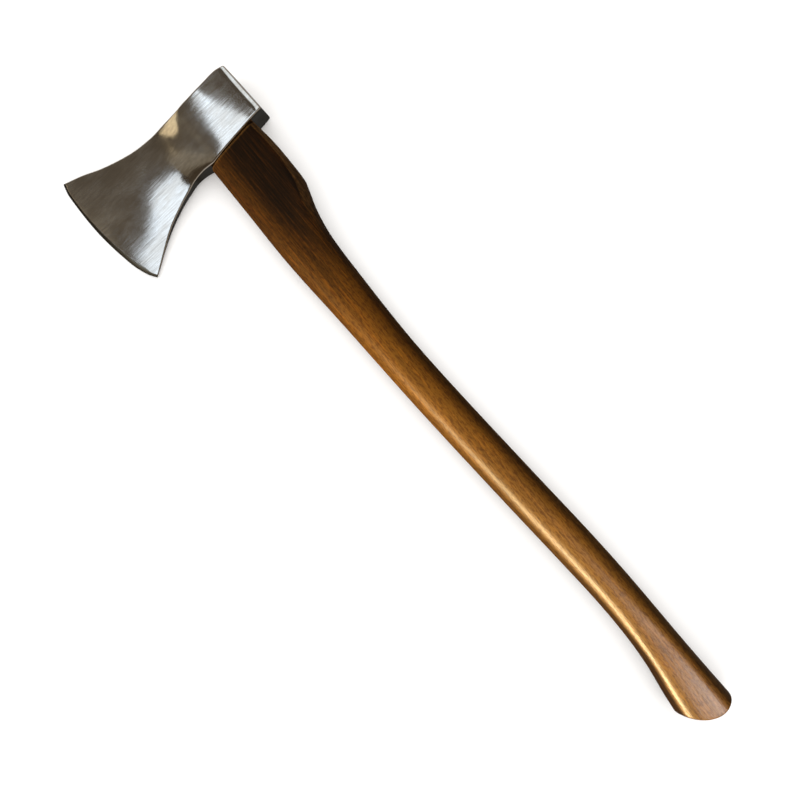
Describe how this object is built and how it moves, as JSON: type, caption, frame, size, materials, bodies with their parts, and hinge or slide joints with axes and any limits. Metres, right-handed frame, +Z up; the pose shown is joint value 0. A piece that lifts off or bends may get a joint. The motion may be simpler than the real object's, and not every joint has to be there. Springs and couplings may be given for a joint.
{
  "type": "felling axe",
  "caption": "Felling axe: a ground steel head with a wide flared bit, wedged onto a curved, lacquered wooden handle that swells at the butt.",
  "frame": {"origin": "middle of the bounding box, on the surface that the axe lies on", "axes": "+X along the handle from the head to the butt, +Y from the cutting edge to the poll, +Z up out of the upper cheek; the axe lies on one cheek, its edge and its butt, so it is rolled 5.7 degrees about X"},
  "size_m": [0.784, 0.2046, 0.0382],
  "materials": {
    "head_steel": "ground bright, fine grinding lines from poll to edge",
    "handle_wood": "flame-darkened towards the head and clear lacquered",
    "wedge_wood": "raw end grain, trimmed flush with the handle's end",
    "wedge_steel": "as hammered in, dull grey"
  },
  "bodies": {
    "root": {"axe_head": "head_steel", "handle": "handle_wood", "wooden_wedge": "wedge_wood", "steel_ring_wedge": "wedge_steel"}
  },
  "joints": []
}
